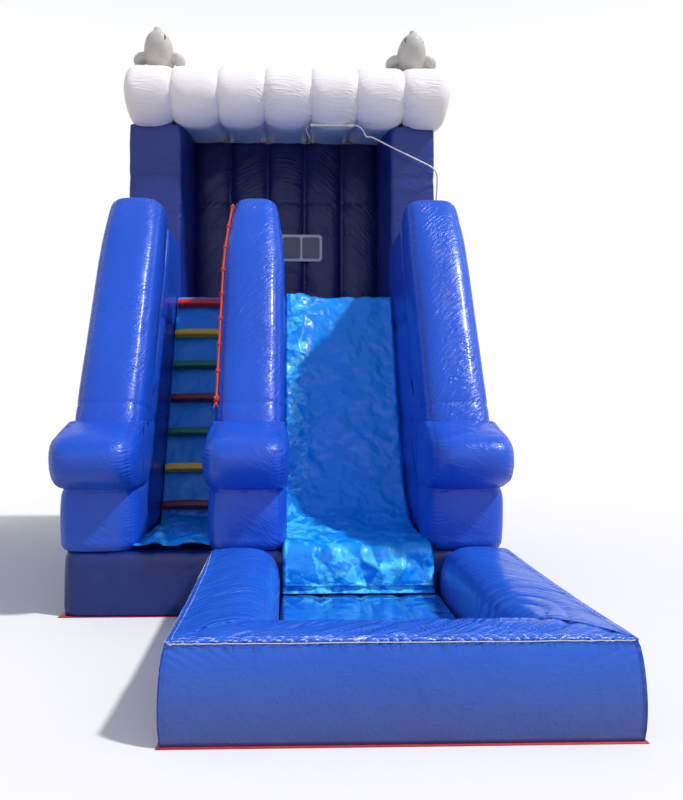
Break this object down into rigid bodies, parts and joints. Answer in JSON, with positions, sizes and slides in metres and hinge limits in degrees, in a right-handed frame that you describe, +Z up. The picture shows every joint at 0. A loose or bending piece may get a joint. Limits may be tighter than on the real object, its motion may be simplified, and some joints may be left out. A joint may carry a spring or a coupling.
{
  "type": "inflatable water slide",
  "caption": "Inflatable water slide with a stair lane, a slide lane, a roofed platform topped by dolphins, and a splash pool.",
  "frame": {"origin": "on the ground, under the middle of the base mattress (the pool lies in front of it)", "axes": "+Z up, +Y from the pool towards the back wall, +X to the right seen from the pool, which is the slide lane's side"},
  "size_m": [4.4791, 8.7863, 6.9884],
  "materials": {
    "blue_vinyl": "glossy PVC-coated fabric",
    "navy_vinyl": "semi-gloss PVC-coated fabric",
    "white_vinyl": "satin PVC-coated fabric",
    "grey_vinyl": "satin PVC-coated fabric",
    "aqua_vinyl": "glossy PVC-coated fabric",
    "red_vinyl": "satin PVC-coated fabric",
    "wet_blue_vinyl": "wet, glossy PVC-coated fabric",
    "red_tread": "satin PVC-coated fabric over foam",
    "yellow_tread": "satin PVC-coated fabric over foam",
    "green_tread": "satin PVC-coated fabric over foam",
    "maroon_tread": "satin PVC-coated fabric over foam",
    "coral_rope": "matt braided cord",
    "sign_vinyl": "satin PVC-coated fabric, bare",
    "white_pipe": "satin",
    "white_hose": "satin",
    "coupling_plastic": "satin",
    "black_webbing": "matt woven webbing",
    "steel": "galvanised"
  },
  "bodies": {
    "slide": {"base_chamber": "blue_vinyl", "left_post": "blue_vinyl", "divider_post": "blue_vinyl", "right_post": "blue_vinyl", "left_wall": "blue_vinyl", "divider_wall": "blue_vinyl", "right_wall": "blue_vinyl", "left_rail": "blue_vinyl", "divider_rail": "blue_vinyl", "right_rail": "blue_vinyl", "left_tower_wall": "blue_vinyl", "right_tower_wall": "blue_vinyl", "pool_left_tube": "blue_vinyl", "pool_right_tube": "blue_vinyl", "pool_front_tube": "blue_vinyl", "air_sleeve": "blue_vinyl", "back_wall": "navy_vinyl", "roof": "white_vinyl", "left_dolphin_body": "grey_vinyl", "left_dolphin_outer_flipper": "grey_vinyl", "left_dolphin_inner_flipper": "grey_vinyl", "left_dolphin_tail_flukes": "grey_vinyl", "right_dolphin_body": "grey_vinyl", "right_dolphin_outer_flipper": "grey_vinyl", "right_dolphin_inner_flipper": "grey_vinyl", "right_dolphin_tail_flukes": "grey_vinyl", "platform_chamber": "aqua_vinyl", "slide_ramp": "aqua_vinyl", "stair_ramp": "aqua_vinyl", "stair_mat": "aqua_vinyl", "slide_liner": "aqua_vinyl", "base_ground_sheet": "red_vinyl", "pool_ground_sheet": "red_vinyl", "pool_floor": "wet_blue_vinyl", "step_1": "red_tread", "step_2": "yellow_tread", "step_6": "yellow_tread", "step_3": "green_tread", "step_5": "green_tread", "step_4": "maroon_tread", "step_7": "maroon_tread", "hand_rope": "coral_rope", "sign_plate": "sign_vinyl", "spray_pipe": "white_pipe", "feed_hose": "white_hose", "hose_connector": "coupling_plastic", "front_left_anchor_strap": "black_webbing", "front_right_anchor_strap": "black_webbing", "rear_left_anchor_strap": "black_webbing", "rear_right_anchor_strap": "black_webbing", "sleeve_strap": "black_webbing", "zip_tape": "black_webbing"},
    "front_left_ring": {"front_left_anchor_ring": "steel"},
    "front_right_ring": {"front_right_anchor_ring": "steel"},
    "rear_left_ring": {"rear_left_anchor_ring": "steel"},
    "rear_right_ring": {"rear_right_anchor_ring": "steel"},
    "zip_flap": {"zip_flap": "blue_vinyl"},
    "zip_slider": {"zip_slider": "steel"},
    "hose_nut": {"hose_nut": "coupling_plastic"}
  },
  "joints": [
    {"name": "front_left_ring_hinge", "type": "hinge", "parent": "slide", "child": "front_left_ring", "pos_m": [-2.0091, -1.75, 0.2], "axis": [0, 1, 0], "range_deg": [0, 150]},
    {"name": "front_right_ring_hinge", "type": "hinge", "parent": "slide", "child": "front_right_ring", "pos_m": [2.0091, -1.75, 0.2], "axis": [0, -1, 0], "range_deg": [0, 150]},
    {"name": "rear_left_ring_hinge", "type": "hinge", "parent": "slide", "child": "rear_left_ring", "pos_m": [-2.0091, 1.75, 0.2], "axis": [0, 1, 0], "range_deg": [0, 150]},
    {"name": "rear_right_ring_hinge", "type": "hinge", "parent": "slide", "child": "rear_right_ring", "pos_m": [2.0091, 1.75, 0.2], "axis": [0, -1, 0], "range_deg": [0, 150]},
    {"name": "zip_flap_hinge", "type": "hinge", "parent": "slide", "child": "zip_flap", "pos_m": [-1.05, 2.6656, 0.355], "axis": [1, 0, 0], "range_deg": [0, 170]},
    {"name": "zip_slider_slide", "type": "slide", "parent": "slide", "child": "zip_slider", "axis": [1, 0, 0], "range_m": [0, 0.548]},
    {"name": "hose_nut_turn", "type": "hinge", "parent": "slide", "child": "hose_nut", "pos_m": [2.2656, -0.15227, 0.01841], "axis": [-0.1946, -0.9809, -0.0027], "continuous": true}
  ]
}
